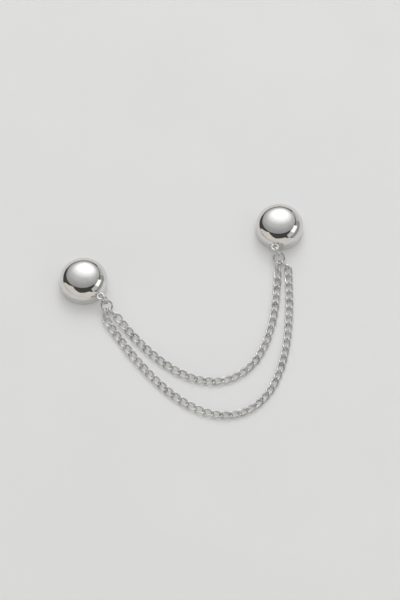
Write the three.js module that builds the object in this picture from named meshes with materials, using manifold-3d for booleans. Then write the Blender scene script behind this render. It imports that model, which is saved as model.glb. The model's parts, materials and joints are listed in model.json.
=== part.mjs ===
// Magnetic clothing clip: two domed magnetic buttons joined by two curb chains.
// Millimetres, +Z up. The origin is the middle of the left button's underside, and the right button
// stands along +X. The chains drape towards -Y on the surface that the buttons stand on.
import * as THREE from "three";
import { mergeVertices } from "three/addons/utils/BufferGeometryUtils.js";
import Module from "manifold-3d";

// Buttons: a domed front cap and a plain back cup, which hold cloth between them
const BUTTON_DIAMETER = 12;
const BUTTON_SPACING = 52; // between the two buttons' axes
const BACK_HEIGHT = 2; // back cup, underside to rim
const CLOTH_GAP = 0.1; // between the two rims with no cloth in the clip
const SKIRT_HEIGHT = 0.3; // straight wall of the cap below its dome
const DOME_RISE = 3.8;
const FOOT_RADIUS = 0.3; // rounded edge of the underside

// Disc magnets, one in a blind pocket of each cap and cup
const MAGNET_DIAMETER = 10;
const MAGNET_THICKNESS = 1.5;
const MAGNET_CLEARANCE = 0.1; // glue line around the magnet
const MAGNET_RECESS = 0.05; // of the magnet's face below the rim

// Eye cast on the side of each cap
const EYE_BORE = 1.05;
const EYE_WIRE = 0.55;
const EYE_SINK = 0.25; // how far the eye runs into the cap's wall
const EYE_RISE = 1.05; // of the eye's middle above the cap's rim

// Rings: one through the eye, and one that gathers both strands
const RING_WIRE = 0.5;
const EYE_RING_BORE = 1.8;
const CHAIN_RING_BORE = 2.2;
const RING_HANG_PLAY = 0.2; // over the eye, inside the ring that hangs on it
const RING_PLAY = 0.15; // between the two rings
const RING_SLOPE = 32; // degrees that the chain ring dips towards the chains

// Curb links: twisted ovals of round wire
const LINK_WIRE = 0.45;
const LINK_INNER_LENGTH = 2.28;
const LINK_INNER_WIDTH = 1.05;
const LINK_TWIST = 45; // degrees either way from the middle of a link to its tips
const LINK_WELD = 0.08; // how far the wires of links in one piece run into each other
const LINK_PLAY = 0.16; // between the wires of two pieces that pivot on each other
const HOOK_PLAY = 0.12; // between a strand's end link and the ring in it
const STRAND_GAP = 0.2; // between the two end links on one ring
const INNER_LINKS = 33;
const OUTER_EXTRA_LINKS = 9; // more than the inner strand has
const LINKS_PER_PIECE = 3;
const END_LIFT = 0.24; // of a strand's ends, over its links that lie flat
const SETTLE_LENGTH = 5; // in which a strand comes down to lie flat
const FLOOR_CLEARANCE = 0.02; // under the links

// Headings in degrees from +X, as the clip lies, and how far each eye ring leans to the right
const LEFT_HEADINGS = { eye: -67, eyeRing: -60, eyeRingLean: 20, chainRing: -88 };
const RIGHT_HEADINGS = { eye: -118, eyeRing: -82, eyeRingLean: 0, chainRing: -88 };

// Facets
const BUTTON_FACETS = 36;
const DOME_STEPS = 6;
const FOOT_STEPS = 3;
const RING_FACETS = 16;
const LINK_FACETS = 10;
const WIRE_FACETS = 6;

const wasm = await Module();
wasm.setup();

const silver = { color: 0xd9d9d7, metalness: 1, roughness: 0.1 };
const chainSilver = { color: 0xcfd0d0, metalness: 1, roughness: 0.18 };
const nickel = { color: 0xb9b6ae, metalness: 1, roughness: 0.3 };
const UP = new THREE.Vector3(0, 0, 1);

const radians = THREE.MathUtils.degToRad;
const buttonRadius = BUTTON_DIAMETER / 2;
const capRim = BACK_HEIGHT + CLOTH_GAP;
const domeStart = capRim + SKIRT_HEIGHT;
const pocketRadius = MAGNET_DIAMETER / 2 + MAGNET_CLEARANCE;
const pocketDepth = MAGNET_THICKNESS + MAGNET_RECESS;
const weldedPitch = LINK_INNER_LENGTH + LINK_WELD;
const pivotPitch = LINK_INNER_LENGTH - LINK_PLAY;

// Meshes and solids
function namedMesh(name, geometry, finish) {
  const mesh = new THREE.Mesh(geometry, new THREE.MeshStandardMaterial(finish));
  mesh.name = name;
  return mesh;
}

function toSolid(source) {
  const geometry = source.clone();
  geometry.deleteAttribute("normal");
  geometry.deleteAttribute("uv");
  const merged = mergeVertices(geometry);
  const corners = merged.index.array;
  const triangles = [];
  for (let i = 0; i < corners.length; i += 3) {
    const [a, b, c] = corners.slice(i, i + 3);
    // a lathe's strips have no area where they meet the axis
    if (a !== b && b !== c && c !== a) triangles.push(a, b, c);
  }
  const mesh = new wasm.Mesh({
    numProp: 3,
    vertProperties: new Float32Array(merged.attributes.position.array),
    triVerts: new Uint32Array(triangles),
  });
  return new wasm.Manifold(mesh);
}

function toGeometry(solid) {
  const mesh = solid.getMesh();
  const geometry = new THREE.BufferGeometry();
  geometry.setAttribute("position", new THREE.BufferAttribute(mesh.vertProperties, 3));
  geometry.setIndex(new THREE.BufferAttribute(mesh.triVerts, 1));
  geometry.computeVertexNormals();
  return geometry;
}

// A turned piece about +Z, from (radius, height) points that start and end on the axis
function turned(profile) {
  const points = profile.map(([radius, height]) => new THREE.Vector2(radius, height));
  return new THREE.LatheGeometry(points, BUTTON_FACETS).rotateX(Math.PI / 2);
}

// Buttons
function capRadiusAt(height) {
  const rise = (height - domeStart) / DOME_RISE;
  return rise > 0 ? buttonRadius * Math.sqrt(1 - rise * rise) : buttonRadius;
}

const eyeHeight = capRim + EYE_RISE;
const eyeMeanRadius = (EYE_BORE + EYE_WIRE) / 2;
const eyeReach = capRadiusAt(eyeHeight) - EYE_SINK + eyeMeanRadius + EYE_WIRE / 2;

function frontCap() {
  const profile = [
    [0, capRim + pocketDepth],
    [pocketRadius, capRim + pocketDepth],
    [pocketRadius, capRim],
    [buttonRadius, capRim],
  ];
  for (let i = 0; i < DOME_STEPS; i++) {
    const angle = (i / DOME_STEPS) * (Math.PI / 2);
    profile.push([buttonRadius * Math.cos(angle), domeStart + DOME_RISE * Math.sin(angle)]);
  }
  profile.push([0, domeStart + DOME_RISE]);
  const eye = new THREE.TorusGeometry(eyeMeanRadius, EYE_WIRE / 2, WIRE_FACETS, RING_FACETS);
  eye.translate(eyeReach, 0, eyeHeight);
  return toGeometry(toSolid(turned(profile)).add(toSolid(eye)));
}

function backCup() {
  const profile = [[0, 0]];
  for (let i = 0; i <= FOOT_STEPS; i++) {
    const angle = (i / FOOT_STEPS) * (Math.PI / 2);
    profile.push([
      buttonRadius - FOOT_RADIUS + FOOT_RADIUS * Math.sin(angle),
      FOOT_RADIUS - FOOT_RADIUS * Math.cos(angle),
    ]);
  }
  profile.push([buttonRadius, BACK_HEIGHT]);
  profile.push([pocketRadius, BACK_HEIGHT]);
  profile.push([pocketRadius, BACK_HEIGHT - pocketDepth]);
  profile.push([0, BACK_HEIGHT - pocketDepth]);
  return turned(profile);
}

function magnet(underside) {
  return turned([
    [0, underside],
    [MAGNET_DIAMETER / 2, underside],
    [MAGNET_DIAMETER / 2, underside + MAGNET_THICKNESS],
    [0, underside + MAGNET_THICKNESS],
  ]);
}

function button(side, headings, x) {
  const group = new THREE.Group();
  group.position.x = x;
  const cap = namedMesh(`${side}_front_cap`, frontCap(), silver);
  cap.rotation.z = radians(headings.eye);
  group.add(
    cap,
    namedMesh(`${side}_front_magnet`, magnet(capRim + MAGNET_RECESS), nickel),
    namedMesh(`${side}_back_cup`, backCup(), silver),
    namedMesh(`${side}_back_magnet`, magnet(BACK_HEIGHT - pocketDepth), nickel),
  );
  return group;
}

// Rings
function heading(degrees) {
  return new THREE.Vector3(Math.cos(radians(degrees)), Math.sin(radians(degrees)), 0);
}

function dipped(level, degrees) {
  const down = UP.clone().multiplyScalar(-Math.sin(radians(degrees)));
  return level.clone().multiplyScalar(Math.cos(radians(degrees))).add(down);
}

const eyeRingRadius = (EYE_RING_BORE + RING_WIRE) / 2;
const chainRingRadius = (CHAIN_RING_BORE + RING_WIRE) / 2;
const linkRadius = (LINK_INNER_WIDTH + LINK_WIRE) / 2;
const linkStretch = (LINK_INNER_LENGTH - LINK_INNER_WIDTH) / 2;
const hookReach = LINK_INNER_LENGTH / 2 - RING_WIRE / 2 - HOOK_PLAY;

// One end of the clip: where its rings sit, and where the strands hook on
function endLayout(headings, x) {
  const eye = heading(headings.eye).multiplyScalar(eyeReach);
  eye.x += x;
  eye.z = eyeHeight;
  const drop = EYE_RING_BORE / 2 - EYE_WIRE / 2 - RING_HANG_PLAY;
  const reach = Math.sqrt(eyeRingRadius ** 2 - drop ** 2);
  const hang = Math.asin(drop / eyeRingRadius);
  const eyeRing = eye.clone().addScaledVector(heading(headings.eyeRing), reach);
  eyeRing.z -= drop;
  // the chain ring's wire lies just inside the eye ring's, and they pivot midway between the two
  const wireInside = EYE_RING_BORE / 2 - RING_WIRE / 2 - RING_PLAY;
  const pivotReach = (eyeRingRadius + wireInside) / 2;
  const pivot = eyeRing.clone().addScaledVector(dipped(heading(headings.eyeRing), RING_SLOPE), pivotReach);
  const downhill = dipped(heading(headings.chainRing), RING_SLOPE);
  const chainRing = pivot.addScaledVector(downhill, chainRingRadius - (eyeRingRadius - wireInside) / 2);
  return { eyeRing, hang, chainRing, downhill, headings };
}

function rings(side, end) {
  const pair = new THREE.Group();
  const eyeTorus = new THREE.TorusGeometry(eyeRingRadius, RING_WIRE / 2, WIRE_FACETS, RING_FACETS);
  const eyeRing = namedMesh(`${side}_eye_ring`, eyeTorus, chainSilver);
  eyeRing.rotation.order = "ZYX";
  // the ring leans about its diameter through the eye, so it stays in the eye
  const lean = radians(end.headings.eyeRingLean);
  eyeRing.rotation.set(Math.PI / 2 - lean, end.hang, radians(end.headings.eyeRing));
  eyeRing.position.copy(end.eyeRing);
  const chainTorus = new THREE.TorusGeometry(chainRingRadius, RING_WIRE / 2, WIRE_FACETS, RING_FACETS);
  const chainRing = namedMesh(`${side}_chain_ring`, chainTorus, chainSilver);
  chainRing.rotation.order = "ZYX";
  chainRing.rotation.set(0, radians(RING_SLOPE), radians(end.headings.chainRing));
  chainRing.position.copy(end.chainRing);
  pair.add(eyeRing, chainRing);
  return pair;
}

// Links: a ring of wire pulled to an oval along X, then twisted about X from one tip to the other
function linkGeometry(startTwist, endTwist) {
  const geometry = new THREE.TorusGeometry(linkRadius, LINK_WIRE / 2, WIRE_FACETS, LINK_FACETS);
  const position = geometry.attributes.position;
  const tip = linkRadius + linkStretch;
  for (let i = 0; i < position.count; i++) {
    const x = position.getX(i) + linkStretch * Math.sign(position.getX(i));
    const y = position.getY(i);
    const z = position.getZ(i);
    const twist = radians(THREE.MathUtils.mapLinear(x, -tip, tip, startTwist, endTwist));
    position.setXYZ(i, x, y * Math.cos(twist) - z * Math.sin(twist), y * Math.sin(twist) + z * Math.cos(twist));
  }
  return geometry;
}

const plainLink = linkGeometry(LINK_TWIST, -LINK_TWIST);
const firstLink = linkGeometry(-90, -LINK_TWIST);
const lastLink = linkGeometry(LINK_TWIST, 90);
plainLink.computeBoundingBox();
const lyingHeight = plainLink.boundingBox.max.z + FLOOR_CLEARANCE;

// The end link of a strand stands across the ring's wire and points away from the ring's middle
function endLink(end, turn) {
  const tipRadius = chainRingRadius - RING_WIRE / 2 - HOOK_PLAY - LINK_WIRE / 2;
  const spread = turn * Math.asin((LINK_WIRE + STRAND_GAP) / (2 * tipRadius));
  const level = heading(end.headings.chainRing);
  const across = UP.clone().cross(level);
  const hook = end.chainRing.clone();
  hook.addScaledVector(end.downhill, chainRingRadius * Math.cos(spread));
  hook.addScaledVector(across, chainRingRadius * Math.sin(spread));
  const span = hookReach + weldedPitch / 2;
  const slope = Math.asin((lyingHeight + END_LIFT - hook.z) / span);
  const yaw = radians(end.headings.chainRing) + spread;
  const axis = new THREE.Vector3(
    Math.cos(yaw) * Math.cos(slope),
    Math.sin(yaw) * Math.cos(slope),
    Math.sin(slope),
  );
  const centre = hook.clone().addScaledVector(axis, hookReach);
  const joint = hook.clone().addScaledVector(axis, span);
  return { centre, joint, yaw, slope };
}

// A chain of a given length lying between two points, as a catenary that sags towards -Y
function drape(start, end, length) {
  const span = end.x - start.x;
  const rise = end.y - start.y;
  const stretch = Math.sqrt(length ** 2 - rise ** 2) / span;
  let half = 4;
  for (let i = 0; i < 40; i++) {
    const excess = Math.sinh(half) / half - stretch;
    half -= (excess * half ** 2) / (half * Math.cosh(half) - Math.sinh(half));
  }
  const scale = span / (2 * half);
  const first = Math.sinh(Math.atanh(rise / length) - half);
  return (along) => {
    const steepness = first + along / scale;
    return {
      x: start.x + scale * (Math.asinh(steepness) - Math.asinh(first)),
      y: start.y + scale * (Math.hypot(1, steepness) - Math.hypot(1, first)),
      yaw: Math.atan(steepness),
    };
  };
}

function placedLink(geometry, { centre, yaw, slope }) {
  const turn = new THREE.Euler(0, -slope, yaw, "ZYX");
  const place = new THREE.Matrix4().makeRotationFromEuler(turn).setPosition(centre);
  return toSolid(geometry.clone().applyMatrix4(place));
}

// The link that starts each piece of a strand: any links left over go into the last piece
function pieceStarts(count) {
  const pieces = Math.floor(count / LINKS_PER_PIECE);
  return Array.from({ length: pieces }, (_, i) => i * LINKS_PER_PIECE);
}

function strandLinks(count, starts, from, to) {
  const places = [];
  let along = weldedPitch / 2;
  for (let i = 1; i < count - 1; i++) {
    places.push(along);
    along += starts.includes(i + 1) ? pivotPitch : weldedPitch;
  }
  const length = along - weldedPitch / 2;
  const route = drape(from.joint, to.joint, length);
  const { smoothstep } = THREE.MathUtils;
  const height = (at) => {
    const settled = smoothstep(at, 0, SETTLE_LENGTH) + smoothstep(length - at, 0, SETTLE_LENGTH);
    return lyingHeight + END_LIFT * (2 - settled);
  };
  const links = [placedLink(firstLink, from)];
  for (const at of places) {
    const { x, y, yaw } = route(at);
    const slope = Math.atan2(height(at + LINK_WIRE) - height(at - LINK_WIRE), 2 * LINK_WIRE);
    const centre = new THREE.Vector3(x, y, height(at));
    links.push(placedLink(plainLink, { centre, yaw, slope }));
  }
  links.push(placedLink(lastLink, { centre: to.centre, yaw: to.yaw + Math.PI, slope: -to.slope }));
  return links;
}

function strand(name, count, from, to) {
  const group = new THREE.Group();
  const starts = pieceStarts(count);
  const links = strandLinks(count, starts, from, to);
  starts.forEach((first, i) => {
    const piece = links.slice(first, starts[i + 1]).reduce((joined, link) => joined.add(link));
    const number = String(i + 1).padStart(2, "0");
    group.add(namedMesh(`${name}_links_${number}`, toGeometry(piece), chainSilver));
  });
  return group;
}

// The whole clip
const leftEnd = endLayout(LEFT_HEADINGS, 0);
const rightEnd = endLayout(RIGHT_HEADINGS, BUTTON_SPACING);
const clip = new THREE.Group();
clip.add(
  button("left", LEFT_HEADINGS, 0),
  button("right", RIGHT_HEADINGS, BUTTON_SPACING),
  rings("left", leftEnd),
  rings("right", rightEnd),
  strand("inner", INNER_LINKS, endLink(leftEnd, 1), endLink(rightEnd, -1)),
  strand("outer", INNER_LINKS + OUTER_EXTRA_LINKS, endLink(leftEnd, -1), endLink(rightEnd, 1)),
);

export default clip;
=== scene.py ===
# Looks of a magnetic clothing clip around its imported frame, in metres: +Z up, chains towards -Y
import json
import math

import bmesh
import bpy
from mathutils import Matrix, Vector


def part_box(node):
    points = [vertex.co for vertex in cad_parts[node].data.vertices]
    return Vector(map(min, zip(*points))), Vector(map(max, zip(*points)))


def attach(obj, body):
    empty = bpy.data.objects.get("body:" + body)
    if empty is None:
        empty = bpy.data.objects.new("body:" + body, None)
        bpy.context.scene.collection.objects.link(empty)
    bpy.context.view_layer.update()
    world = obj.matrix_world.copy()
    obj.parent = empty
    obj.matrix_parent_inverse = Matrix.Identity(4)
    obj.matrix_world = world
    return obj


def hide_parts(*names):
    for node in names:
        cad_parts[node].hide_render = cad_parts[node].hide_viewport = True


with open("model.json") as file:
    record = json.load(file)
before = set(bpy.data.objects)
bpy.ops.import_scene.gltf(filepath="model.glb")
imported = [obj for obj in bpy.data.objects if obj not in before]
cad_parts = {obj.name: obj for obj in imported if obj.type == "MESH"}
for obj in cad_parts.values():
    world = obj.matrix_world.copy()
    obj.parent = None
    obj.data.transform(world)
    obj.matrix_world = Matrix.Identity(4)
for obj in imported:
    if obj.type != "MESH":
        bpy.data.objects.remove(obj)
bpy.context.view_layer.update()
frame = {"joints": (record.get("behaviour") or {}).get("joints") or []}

MM = 0.001
TINY = 0.001 * MM  # places nearer than this are the same
UP = Vector((0, 0, 1))
SIDES = ("left", "right")
SMOOTH_ANGLE = math.radians(35)  # sharper edges stay sharp in the shading

# Buttons
SKIRT_HEIGHT = 0.3 * MM  # straight wall of the cap below its dome
RIM_ROUNDING = 0.06 * MM  # of the two rims that face each other
FOOT_ROUNDING = 0.3 * MM  # of the underside's edge
MAGNET_ROUNDING = 0.15 * MM
GLUE_LINE = 0.1 * MM  # round a magnet in its pocket
BUTTON_SEGMENTS = 128
DOME_RINGS = 64
RIM_STEPS = 3  # in the rounding of a rim or a magnet
FOOT_STEPS = 5
EYE_BORE = 1.05 * MM
EYE_WIRE = 0.55 * MM
EYE_SEGMENTS = 48

# Rings
RING_WIRE = 0.5 * MM
EYE_RING_BORE = 1.8 * MM
CHAIN_RING_BORE = 2.2 * MM
EYE_RING_LEAN = {"left": math.radians(20), "right": 0}  # to the right, about the diameter through the eye
RING_SEGMENTS = 96
RING_WIRE_SEGMENTS = 16

# Curb links, a little wider and longer inside than the solids' so that no two touch
LINK_WIRE = 0.45 * MM
LINK_PITCH = 2.28 * MM
LINK_INNER_LENGTH = 2.47 * MM
LINK_INNER_WIDTH = 1.22 * MM
LINK_FULLNESS = 0.5  # 1 is an ellipse, less has straighter sides
LINK_TWIST = math.radians(40)  # either way from the middle of a link to its tips
END_TWIST = math.radians(78)  # where an end link stands across its ring
LINK_SEGMENTS = 40
LINK_WIRE_SEGMENTS = 12

# How the strands lie, as in the part's source but for a little more lift at the ends
WELDED_PITCH = 2.36 * MM
HOOK_PLAY = 0.12 * MM
STRAND_GAP = 0.2 * MM
END_LIFT = 0.3 * MM
SETTLE_LENGTH = 5 * MM
FLOOR_CLEARANCE = 0.02 * MM
LINKS_PER_PIECE = 3
STRAND_PIECES = {"inner": 11, "outer": 14}
DRAPE_GUESS = 4  # steeper than any strand lies, so that the steps come down on the answer
DRAPE_STEPS = 40

# Finishes, with the scale of a pattern as features to the metre
NOISE_SPAN = (0.3, 0.7)  # where nearly all of a noise lies
CLOUD_SCALE = 420
CLOUD_SPAN = (0.3, 0.62)  # from the dull tint to the pale one
GRAIN_SCALE = 2600
HAIRLINE_SCALE = 260
HAIRLINE_STRETCH = (1, 24, 3)
HAIRLINE_SPAN = (0.62, 0.72)  # only the highest of the noise makes a line
RIPPLE_SCALE = 900

# The view: photo-right is turned clockwise from +X, and the camera looks down from the front
VIEW_TURN = math.radians(-17.46)
VIEW_ELEVATION = math.radians(62)
VIEW_MIDDLE = Vector((26.7, -13.1, 0)) * MM
VIEW_HEIGHT = 151.4 * MM
VIEW_DISTANCE = 1.1
SENSOR = 36  # millimetres, as lenses are named


def joint_place(name):
    return Vector(next(j["pos_m"] for j in frame["joints"] if j["name"] == name))


def box_middle(node):
    low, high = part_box(node)
    return (low + high) / 2


def heading_of(step):
    return math.atan2(step.y, step.x)


def dip_of(step):
    return math.atan2(-step.z, step.xy.length)


def near(value, target):
    return abs(value - target) < TINY


# Working on one object
def select_only(obj):
    bpy.ops.object.select_all(action="DESELECT")
    obj.select_set(True)
    bpy.context.view_layer.objects.active = obj


def start_edit(obj):
    select_only(obj)
    bpy.ops.object.mode_set(mode="EDIT")


def end_edit():
    bpy.ops.object.mode_set(mode="OBJECT")


def added(name):
    """The primitive that was just added, named, with its place moved into its mesh."""
    obj = bpy.context.active_object
    obj.name = name
    obj.data.name = name
    bpy.ops.object.transform_apply(location=True, rotation=True, scale=True)
    return obj


def pick(obj, kind, chosen):
    """Selects the vertices, edges or faces whose middle the test takes."""
    bpy.ops.mesh.select_mode(type=kind)
    bpy.ops.mesh.select_all(action="DESELECT")
    mesh = bmesh.from_edit_mesh(obj.data)
    if kind == "FACE":
        for face in mesh.faces:
            face.select_set(chosen(face.calc_center_median()))
    elif kind == "EDGE":
        for edge in mesh.edges:
            edge.select_set(chosen((edge.verts[0].co + edge.verts[1].co) / 2))
    else:
        for vertex in mesh.verts:
            vertex.select_set(chosen(vertex.co))
    mesh.select_flush_mode()
    bmesh.update_edit_mesh(obj.data)


def extrude_by(step):
    bpy.ops.mesh.extrude_region_move(TRANSFORM_OT_translate={"value": step})


def narrow_to(share, centre):
    bpy.ops.transform.resize(value=(share, share, 1), center_override=centre)


def smooth(obj):
    start_edit(obj)
    bpy.ops.mesh.select_all(action="SELECT")
    bpy.ops.mesh.normals_make_consistent(inside=False)
    end_edit()
    bpy.ops.object.shade_smooth_by_angle(angle=SMOOTH_ANGLE)


def dress(obj, body, node, material):
    """Puts a finished piece in the place of its CAD node."""
    obj.data.materials.clear()
    obj.data.materials.append(material)
    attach(obj, body)
    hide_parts(node)


# Finishes
def new_material(name):
    material = bpy.data.materials.new(name)
    material.use_nodes = True
    tree = material.node_tree
    return material, tree, tree.nodes["Principled BSDF"]


def noise(tree, scale, detail, stretch=(1, 1, 1)):
    """Noise on the piece's own place in metres, finer where the scale is larger."""
    place = tree.nodes.new("ShaderNodeTexCoord")
    mapping = tree.nodes.new("ShaderNodeMapping")
    mapping.inputs["Scale"].default_value = stretch
    texture = tree.nodes.new("ShaderNodeTexNoise")
    texture.inputs["Scale"].default_value = scale
    texture.inputs["Detail"].default_value = detail
    tree.links.new(place.outputs["Object"], mapping.inputs["Vector"])
    tree.links.new(mapping.outputs["Vector"], texture.inputs["Vector"])
    return texture.outputs["Fac"]


def ramp(tree, value, *stops):
    """Colours by a value: each stop is a position between 0 and 1 and its colour."""
    node = tree.nodes.new("ShaderNodeValToRGB")
    elements = node.color_ramp.elements
    while len(elements) < len(stops):
        elements.new(0.5)
    for element, (position, colour) in zip(elements, stops):
        element.position = position
        element.color = (*colour, 1)
    tree.links.new(value, node.inputs["Fac"])
    return node.outputs["Color"]


def spread(tree, value, low, high, span=NOISE_SPAN):
    node = tree.nodes.new("ShaderNodeMapRange")
    node.inputs["From Min"].default_value = span[0]
    node.inputs["From Max"].default_value = span[1]
    node.inputs["To Min"].default_value = low
    node.inputs["To Max"].default_value = high
    tree.links.new(value, node.inputs["Value"])
    return node.outputs["Result"]


def total(tree, first, second):
    node = tree.nodes.new("ShaderNodeMath")
    node.operation = "ADD"
    tree.links.new(first, node.inputs[0])
    tree.links.new(second, node.inputs[1])
    return node.outputs["Value"]


def bump(tree, shader, height, depth):
    node = tree.nodes.new("ShaderNodeBump")
    node.inputs["Strength"].default_value = 1
    node.inputs["Distance"].default_value = depth
    tree.links.new(height, node.inputs["Height"])
    tree.links.new(node.outputs["Normal"], shader.inputs["Normal"])


def plated_metal(name, pale, dull, smoothest, roughest, hairlines, depth):
    """Bright plating: faint clouds of tint, fine grain in the polish and hairlines from handling."""
    material, tree, shader = new_material(name)
    shader.inputs["Metallic"].default_value = 1
    clouds = noise(tree, scale=CLOUD_SCALE, detail=3)
    tint = ramp(tree, clouds, *zip(CLOUD_SPAN, (dull, pale)))
    tree.links.new(tint, shader.inputs["Base Color"])
    grain = spread(tree, noise(tree, scale=GRAIN_SCALE, detail=4), smoothest, roughest)
    scratches = noise(tree, scale=HAIRLINE_SCALE, detail=2, stretch=HAIRLINE_STRETCH)
    lines = spread(tree, scratches, 0, hairlines, span=HAIRLINE_SPAN)
    tree.links.new(total(tree, grain, lines), shader.inputs["Roughness"])
    bump(tree, shader, noise(tree, scale=RIPPLE_SCALE, detail=2), depth)
    return material


polished_silver = plated_metal(
    "polished_silver", pale=(0.79, 0.785, 0.77), dull=(0.73, 0.725, 0.71),
    smoothest=0.03, roughest=0.07, hairlines=0.03, depth=0.2e-6)
chain_silver = plated_metal(
    "chain_silver", pale=(0.80, 0.795, 0.775), dull=(0.62, 0.615, 0.595),
    smoothest=0.05, roughest=0.11, hairlines=0.05, depth=1e-6)
magnet_nickel = plated_metal(
    "magnet_nickel", pale=(0.62, 0.60, 0.57), dull=(0.52, 0.50, 0.47),
    smoothest=0.24, roughest=0.36, hairlines=0.08, depth=3e-6)


# Buttons
cup_low, cup_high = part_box("left_back_cup")
magnet_low, magnet_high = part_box("left_back_magnet")
cap_low, cap_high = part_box("left_front_cap")
button_radius = (cup_high.x - cup_low.x) / 2
magnet_radius = (magnet_high.x - magnet_low.x) / 2
pocket_radius = magnet_radius + GLUE_LINE
cup_floor = magnet_low.z
cap_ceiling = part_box("left_front_magnet")[1].z
dome_start = cap_low.z + SKIRT_HEIGHT
dome_rise = cap_high.z - dome_start
rim_reach = button_radius * math.cos(math.pi / BUTTON_SEGMENTS)  # axis to the middle of a rim's edge


def round_rim(obj, axis, height, rounding, steps):
    """Rounds a button's outer edge at that height."""
    pick(obj, "EDGE", lambda p: near(p.z, height) and near((p - axis).xy.length, rim_reach))
    bpy.ops.mesh.bevel(offset=rounding, segments=steps, affect="EDGES")


def front_cap(side):
    axis = box_middle(f"{side}_back_cup")
    base = Vector((axis.x, axis.y, dome_start))
    bpy.ops.object.select_all(action="DESELECT")
    bpy.ops.mesh.primitive_uv_sphere_add(
        segments=BUTTON_SEGMENTS, ring_count=DOME_RINGS, radius=button_radius, location=base)
    cap = added(f"{side}_cap")
    start_edit(cap)
    pick(cap, "FACE", lambda p: p.z < dome_start)
    bpy.ops.mesh.delete(type="FACE")
    bpy.ops.mesh.select_all(action="SELECT")
    bpy.ops.transform.resize(value=(1, 1, dome_rise / button_radius), center_override=base)
    # the skirt, the rim and the magnet's pocket
    pick(cap, "EDGE", lambda p: near(p.z, dome_start))
    extrude_by((0, 0, -SKIRT_HEIGHT))
    extrude_by((0, 0, 0))
    narrow_to(pocket_radius / button_radius, base)
    extrude_by((0, 0, cap_ceiling - cap_low.z))
    bpy.ops.mesh.edge_face_add()
    round_rim(cap, axis, cap_low.z, RIM_ROUNDING, RIM_STEPS)
    end_edit()
    # the eye, cast in one with the cap
    bpy.ops.object.select_all(action="DESELECT")
    bpy.ops.mesh.primitive_torus_add(
        location=joint_place(f"{side}_eye_swivel"), major_radius=(EYE_BORE + EYE_WIRE) / 2,
        minor_radius=EYE_WIRE / 2, major_segments=EYE_SEGMENTS, minor_segments=RING_WIRE_SEGMENTS)
    eye = added(f"{side}_eye")
    union = cap.modifiers.new("cast_eye", "BOOLEAN")
    union.operation = "UNION"
    union.solver = "EXACT"
    union.object = eye
    bpy.context.view_layer.objects.active = cap
    bpy.ops.object.modifier_apply(modifier=union.name)
    bpy.data.objects.remove(eye)
    smooth(cap)
    dress(cap, f"{side}_front", f"{side}_front_cap", polished_silver)


def back_cup(side):
    axis = box_middle(f"{side}_back_cup")
    height = cup_high.z - cup_low.z
    bpy.ops.object.select_all(action="DESELECT")
    bpy.ops.mesh.primitive_cylinder_add(
        vertices=BUTTON_SEGMENTS, radius=button_radius, depth=height, location=axis)
    cup = added(f"{side}_cup")
    start_edit(cup)
    pick(cup, "FACE", lambda p: near(p.z, cup_high.z))
    extrude_by((0, 0, 0))
    narrow_to(pocket_radius / button_radius, axis)
    extrude_by((0, 0, cup_floor - cup_high.z))
    round_rim(cup, axis, cup_low.z, FOOT_ROUNDING, FOOT_STEPS)
    round_rim(cup, axis, cup_high.z, RIM_ROUNDING, RIM_STEPS)
    end_edit()
    smooth(cup)
    dress(cup, f"{side}_back", f"{side}_back_cup", polished_silver)


def disc_magnet(side, half):
    node = f"{side}_{half}_magnet"
    low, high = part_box(node)
    bpy.ops.object.select_all(action="DESELECT")
    bpy.ops.mesh.primitive_cylinder_add(
        vertices=BUTTON_SEGMENTS, radius=magnet_radius, depth=high.z - low.z, location=(low + high) / 2)
    disc = added(f"{side}_{half}_disc")
    start_edit(disc)
    pick(disc, "EDGE", lambda p: near(p.z, low.z) or near(p.z, high.z))
    bpy.ops.mesh.bevel(offset=MAGNET_ROUNDING, segments=RIM_STEPS, affect="EDGES")
    end_edit()
    smooth(disc)
    dress(disc, f"{side}_{half}", node, magnet_nickel)


# Rings
def wire_ring(node, bore, turn):
    """A bent ring of wire with a hairline split where its two ends meet."""
    bpy.ops.object.select_all(action="DESELECT")
    bpy.ops.mesh.primitive_torus_add(
        major_radius=(bore + RING_WIRE) / 2, minor_radius=RING_WIRE / 2,
        major_segments=RING_SEGMENTS, minor_segments=RING_WIRE_SEGMENTS)
    ring = added(f"{node}_wire")
    start_edit(ring)
    split = 2 * math.pi / RING_SEGMENTS
    pick(ring, "FACE", lambda p: 0 < math.atan2(p.x, p.y) < split)
    bpy.ops.mesh.delete(type="FACE")
    bpy.ops.mesh.select_all(action="SELECT")
    bpy.ops.mesh.fill_holes(sides=0)
    end_edit()
    ring.rotation_euler = turn
    ring.location = box_middle(node)
    bpy.ops.object.transform_apply(location=True, rotation=True, scale=True)
    smooth(ring)
    dress(ring, node, node, chain_silver)


def rings(side):
    outward = box_middle(f"{side}_eye_ring") - joint_place(f"{side}_eye_swivel")
    upright = math.pi / 2 - EYE_RING_LEAN[side]
    wire_ring(f"{side}_eye_ring", EYE_RING_BORE, (upright, dip_of(outward), heading_of(outward)))
    downhill = box_middle(f"{side}_chain_ring") - joint_place(f"{side}_ring_swivel")
    wire_ring(f"{side}_chain_ring", CHAIN_RING_BORE, (0, dip_of(downhill), heading_of(downhill)))


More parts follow.
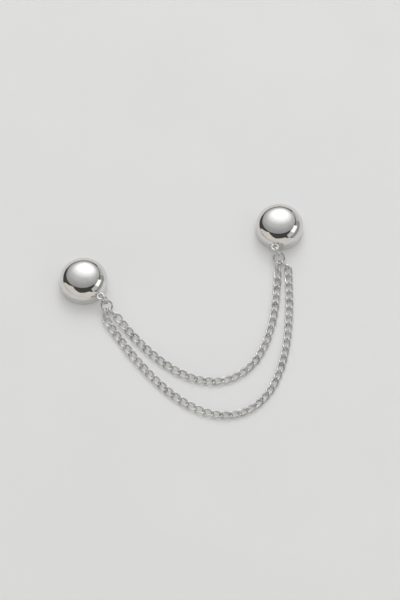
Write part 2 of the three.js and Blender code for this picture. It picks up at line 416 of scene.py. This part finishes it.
# Links
def curb_link(name, start_twist, end_twist):
    """One oval of round wire along X, twisted about X from its first tip to its last."""
    bpy.ops.object.select_all(action="DESELECT")
    bpy.ops.mesh.primitive_torus_add(
        major_radius=(LINK_INNER_WIDTH + LINK_WIRE) / 2, minor_radius=LINK_WIRE / 2,
        major_segments=LINK_SEGMENTS, minor_segments=LINK_WIRE_SEGMENTS)
    link = added(name)
    stretch = (LINK_INNER_LENGTH - LINK_INNER_WIDTH) / 2
    start_edit(link)
    for segment in range(LINK_SEGMENTS):
        heading = 2 * math.pi * segment / LINK_SEGMENTS
        spoke = Vector((math.cos(heading), math.sin(heading), 0))
        pick(link, "VERT", lambda p: near(p.xy.length, p.dot(spoke)))
        shift = math.copysign(abs(spoke.x) ** LINK_FULLNESS, spoke.x) * stretch
        bpy.ops.transform.translate(value=(shift, 0, 0))
        bpy.ops.mesh.hide()
    bpy.ops.mesh.reveal()
    end_edit()
    twist = link.modifiers.new("twist", "SIMPLE_DEFORM")
    twist.deform_method = "TWIST"
    twist.deform_axis = "X"
    twist.angle = end_twist - start_twist
    bpy.ops.object.modifier_apply(modifier=twist.name)
    link.rotation_euler.x = (start_twist + end_twist) / 2
    bpy.ops.object.transform_apply(location=True, rotation=True, scale=True)
    smooth(link)
    return link


def end_link(side, turn):
    """Where a strand's end link lies: across the chain ring's wire, away from the ring's middle."""
    middle = box_middle(f"{side}_chain_ring")
    downhill = (middle - joint_place(f"{side}_ring_swivel")).normalized()
    ring_radius = (CHAIN_RING_BORE + RING_WIRE) / 2
    tip_radius = ring_radius - RING_WIRE / 2 - HOOK_PLAY - LINK_WIRE / 2
    aside = turn * math.asin((LINK_WIRE + STRAND_GAP) / (2 * tip_radius))
    yaw = heading_of(downhill) + aside
    across = UP.cross(downhill).normalized()
    hook = middle + ring_radius * (math.cos(aside) * downhill + math.sin(aside) * across)
    reach = LINK_PITCH / 2 - RING_WIRE / 2 - HOOK_PLAY
    slope = math.asin((flat_height + END_LIFT - hook.z) / (reach + WELDED_PITCH / 2))
    along = Vector((math.cos(yaw) * math.cos(slope), math.sin(yaw) * math.cos(slope), math.sin(slope)))
    return {
        "centre": hook + along * reach,
        "joint": hook + along * (reach + WELDED_PITCH / 2),
        "yaw": yaw,
        "slope": slope,
    }


def drape(start, end, length):
    """A chain of that length between two points, as a catenary that sags towards -Y."""
    span = end.x - start.x
    rise = end.y - start.y
    stretch = math.sqrt(length ** 2 - rise ** 2) / span
    half = DRAPE_GUESS
    for _ in range(DRAPE_STEPS):
        excess = math.sinh(half) / half - stretch
        half -= excess * half ** 2 / (half * math.cosh(half) - math.sinh(half))
    scale = span / (2 * half)
    first = math.sinh(math.atanh(rise / length) - half)

    def place(along):
        steepness = first + along / scale
        x = start.x + scale * (math.asinh(steepness) - math.asinh(first))
        y = start.y + scale * (math.hypot(1, steepness) - math.hypot(1, first))
        return x, y, math.atan(steepness)

    return place


def settled(share):
    share = min(max(share, 0), 1)
    return share * share * (3 - 2 * share)


def placed(link, name, centre, yaw, slope):
    copy = link.copy()
    copy.data = link.data.copy()
    copy.name = name
    bpy.context.scene.collection.objects.link(copy)
    copy.location = centre
    copy.rotation_euler = (0, -slope, yaw)
    select_only(copy)
    bpy.ops.object.transform_apply(location=True, rotation=True, scale=True)
    return copy


def strand(name, left_turn):
    plain_count = STRAND_PIECES[name] * LINKS_PER_PIECE - 2
    start = end_link("left", left_turn)
    end = end_link("right", -left_turn)
    length = (plain_count - 1) * LINK_PITCH + WELDED_PITCH
    place = drape(start["joint"], end["joint"], length)

    def height(along):
        down = settled(along / SETTLE_LENGTH) + settled((length - along) / SETTLE_LENGTH)
        return flat_height + END_LIFT * (2 - down)

    links = [placed(first_link, f"{name}_end", start["centre"], start["yaw"], start["slope"])]
    for i in range(plain_count):
        along = WELDED_PITCH / 2 + i * LINK_PITCH
        x, y, yaw = place(along)
        slope = math.atan2(height(along + LINK_WIRE) - height(along - LINK_WIRE), 2 * LINK_WIRE)
        links.append(placed(plain_link, f"{name}_link", (x, y, height(along)), yaw, slope))
    links.append(placed(last_link, f"{name}_end", end["centre"], end["yaw"] + math.pi, -end["slope"]))
    for piece in range(STRAND_PIECES[name]):
        number = f"{piece + 1:02d}"
        bpy.ops.object.select_all(action="DESELECT")
        for link in links[piece * LINKS_PER_PIECE:(piece + 1) * LINKS_PER_PIECE]:
            link.select_set(True)
            bpy.context.view_layer.objects.active = link
        bpy.ops.object.join()
        joined = bpy.context.active_object
        joined.name = f"{name}_chain_{number}"
        joined.data.name = joined.name
        dress(joined, f"{name}_{number}", f"{name}_links_{number}", chain_silver)


for side in SIDES:
    front_cap(side)
    back_cup(side)
    disc_magnet(side, "front")
    disc_magnet(side, "back")
    rings(side)
first_link = curb_link("first_link", -END_TWIST, -LINK_TWIST)
plain_link = curb_link("plain_link", LINK_TWIST, -LINK_TWIST)
last_link = curb_link("last_link", LINK_TWIST, END_TWIST)
flat_height = plain_link.dimensions.z / 2 + FLOOR_CLEARANCE
strand("inner", 1)
strand("outer", -1)
for pattern in (first_link, plain_link, last_link):
    bpy.data.objects.remove(pattern)


# Studio: a pale floor, one round softbox high at the back, cards at the front and right, and dark walls
FLOOR_WIDTH = 6  # lengths here are in metres, azimuths and elevations in degrees
FLOOR_DARKEST = (0.89, 0.89, 0.89)
FLOOR_PALEST = (0.91, 0.91, 0.91)
FLOOR_MOTTLE_SCALE = 30
FLOOR_ROUGHNESS = 0.9
FLOOR_SHEEN = 0.1
SOFTBOX_DISTANCE = 1.2
SOFTBOX_RADIUS = 1.73
SOFTBOX_SEGMENTS = 96
SOFTBOX_AZIMUTH = 97
SOFTBOX_ELEVATION = 62
SOFTBOX_GLOW = 3.7
HOT_SPOT = Vector((0.2, 0.46, 0))  # where the lamp stands behind the softbox's cloth
HOT_SPOT_REACH = 2.1
# how the glow falls, by the share of that reach
HOT_SPOT_FALL = ((0, 1), (0.12, 0.75), (0.22, 0.35), (0.43, 0.17), (0.71, 0.112), (0.93, 0.098))
FILL_WIDTH = 1.2
FILL_POWER = 6.2
FILL_TINT = (0.96, 0.98, 1)  # takes the front card's warmth off the floor
FRONT_AZIMUTH = -90
FILL_ELEVATION = 78
FILL_DISTANCE = 1.5
WALL_RADIUS = 3
WALL_SEGMENTS = 48
WALL_RINGS = 24
WALL_GLOW = 0.065
WHITE = (1, 1, 1)
ROOM_TONE = (0.7, 0.7, 0.7, 1)  # seen past the floor's edge in low views
CARD_RADIUS = 1.6
CARD_COLUMNS = 48

# Cards: at each azimuth, the elevations of the lower and upper edge, then the colour and its glow
CARDS = {
    "front_card": (
        ((172, 2.5, 3), (180, 2.5, 20), (206, 2.5, 45), (252, 1, 33), (270, 0, 35), (296, 0, 37),
         (325, 0, 9)),
        (0.735, 0.695, 0.635), 1),
    "side_strip": (((-18, 25, 47), (0, 22, 42), (13, 19, 38)), WHITE, 1.3),
    "strip_end": (((-48, 20, 44), (-18, 24, 46)), (0.6, 0.59, 0.57), 1),
    "right_wall": (
        ((-34, 0, 21), (-18, 0, 23.5), (0, 0, 21), (13, 0, 18.5), (14, 0, 31), (20, 0, 28), (30, 0, 23)),
        (0.34, 0.34, 0.325), 1),
    "right_corner": (((30, 0, 23), (44, 0, 17), (60, 0, 11)), (0.56, 0.55, 0.53), 1),
    "far_edge": (((40, 0, 8), (132, 0, 8)), (0.24, 0.19, 0.16), 1),
}


def studio_direction(azimuth, elevation):
    """A direction from the clip, turned from photo-right towards the back of the photo."""
    heading = math.radians(azimuth) + VIEW_TURN
    up = math.radians(elevation)
    return Vector((math.cos(heading) * math.cos(up), math.sin(heading) * math.cos(up), math.sin(up)))


def glow_material(name, colour, strength):
    material, tree, shader = new_material(name)
    tree.nodes.remove(shader)
    glow = tree.nodes.new("ShaderNodeEmission")
    glow.inputs["Color"].default_value = (*colour, 1)
    glow.inputs["Strength"].default_value = strength
    tree.links.new(glow.outputs["Emission"], tree.nodes["Material Output"].inputs["Surface"])
    return material, tree, glow


def off_camera(obj, material):
    obj.data.materials.append(material)
    obj.visible_camera = False


def floor():
    bpy.ops.object.select_all(action="DESELECT")
    bpy.ops.mesh.primitive_plane_add(size=FLOOR_WIDTH, location=VIEW_MIDDLE)
    obj = added("floor")
    material, tree, shader = new_material("pale_floor")
    mottle = noise(tree, scale=FLOOR_MOTTLE_SCALE, detail=3)
    tone = ramp(tree, mottle, *zip(NOISE_SPAN, (FLOOR_DARKEST, FLOOR_PALEST)))
    tree.links.new(tone, shader.inputs["Base Color"])
    shader.inputs["Roughness"].default_value = FLOOR_ROUGHNESS
    shader.inputs["Specular IOR Level"].default_value = FLOOR_SHEEN
    obj.data.materials.append(material)


def softbox():
    bpy.ops.object.select_all(action="DESELECT")
    bpy.ops.mesh.primitive_circle_add(vertices=SOFTBOX_SEGMENTS, radius=SOFTBOX_RADIUS, fill_type="NGON")
    obj = bpy.context.active_object
    obj.name = "softbox"
    obj.location = VIEW_MIDDLE + studio_direction(SOFTBOX_AZIMUTH, SOFTBOX_ELEVATION) * SOFTBOX_DISTANCE
    tilt = math.radians(SOFTBOX_ELEVATION - 90)
    heading = math.radians(SOFTBOX_AZIMUTH - 90) + VIEW_TURN
    obj.rotation_euler = (tilt, 0, heading)
    material, tree, glow = glow_material("softbox_cloth", WHITE, SOFTBOX_GLOW)
    place = tree.nodes.new("ShaderNodeTexCoord")
    away = tree.nodes.new("ShaderNodeVectorMath")
    away.operation = "DISTANCE"
    away.inputs[1].default_value = HOT_SPOT
    tree.links.new(place.outputs["Object"], away.inputs[0])
    outward = spread(tree, away.outputs["Value"], 0, 1, span=(0, HOT_SPOT_REACH))
    shades = ((position, (level, level, level)) for position, level in HOT_SPOT_FALL)
    tree.links.new(ramp(tree, outward, *shades), glow.inputs["Color"])
    off_camera(obj, material)


def overhead_fill():
    """Light for the floor between the links, which the metal doesn't mirror."""
    lamp = bpy.data.lights.new("overhead_fill", "AREA")
    lamp.shape = "DISK"
    lamp.size = FILL_WIDTH
    lamp.energy = FILL_POWER
    lamp.color = FILL_TINT
    holder = bpy.data.objects.new("overhead_fill", lamp)
    bpy.context.scene.collection.objects.link(holder)
    toward = studio_direction(FRONT_AZIMUTH, FILL_ELEVATION)
    holder.location = VIEW_MIDDLE + toward * FILL_DISTANCE
    holder.rotation_euler = toward.to_track_quat("Z", "Y").to_euler()
    holder.visible_glossy = False


def curved_card(name, edges, colour, strength):
    """A card round the clip: at each azimuth, the elevations of its lower and upper edge."""
    bpy.ops.object.select_all(action="DESELECT")
    bpy.ops.mesh.primitive_grid_add(x_subdivisions=CARD_COLUMNS, y_subdivisions=1, size=2)
    obj = bpy.context.active_object
    obj.name = name
    first, last = edges[0][0], edges[-1][0]
    for vertex in obj.data.vertices:
        azimuth = first + (last - first) * (vertex.co.x + 1) / 2
        for (a, a_low, a_high), (b, b_low, b_high) in zip(edges, edges[1:]):
            if a <= azimuth <= b:
                share = (azimuth - a) / (b - a)
                low = a_low + (b_low - a_low) * share
                high = a_high + (b_high - a_high) * share
        elevation = high if vertex.co.y > 0 else low
        vertex.co = VIEW_MIDDLE + studio_direction(azimuth, elevation) * CARD_RADIUS
    material = glow_material(name, colour, strength)[0]
    off_camera(obj, material)


def dark_walls():
    bpy.ops.object.select_all(action="DESELECT")
    bpy.ops.mesh.primitive_uv_sphere_add(
        segments=WALL_SEGMENTS, ring_count=WALL_RINGS, radius=WALL_RADIUS, location=VIEW_MIDDLE)
    obj = added("dark_walls")
    start_edit(obj)
    pick(obj, "FACE", lambda p: p.z < 0)
    bpy.ops.mesh.delete(type="FACE")
    end_edit()
    off_camera(obj, glow_material("dark_walls", WHITE, WALL_GLOW)[0])


def camera():
    data = bpy.data.cameras.new("camera")
    obj = bpy.data.objects.new("camera", data)
    bpy.context.scene.collection.objects.link(obj)
    data.sensor_fit = "VERTICAL"
    data.sensor_height = SENSOR
    data.lens = SENSOR * VIEW_DISTANCE / VIEW_HEIGHT
    toward = studio_direction(FRONT_AZIMUTH, math.degrees(VIEW_ELEVATION))
    obj.location = VIEW_MIDDLE + toward * VIEW_DISTANCE
    obj.rotation_euler = (math.pi / 2 - VIEW_ELEVATION, 0, VIEW_TURN)
    bpy.context.scene.camera = obj


floor()
softbox()
overhead_fill()
for card, (edges, colour, strength) in CARDS.items():
    curved_card(card, edges, colour, strength)
dark_walls()
camera()

world = bpy.data.worlds.new("pale_room")
world.use_nodes = True
world.node_tree.nodes["Background"].inputs["Color"].default_value = ROOM_TONE
bpy.context.scene.world = world
bpy.context.scene.view_settings.view_transform = "Standard"
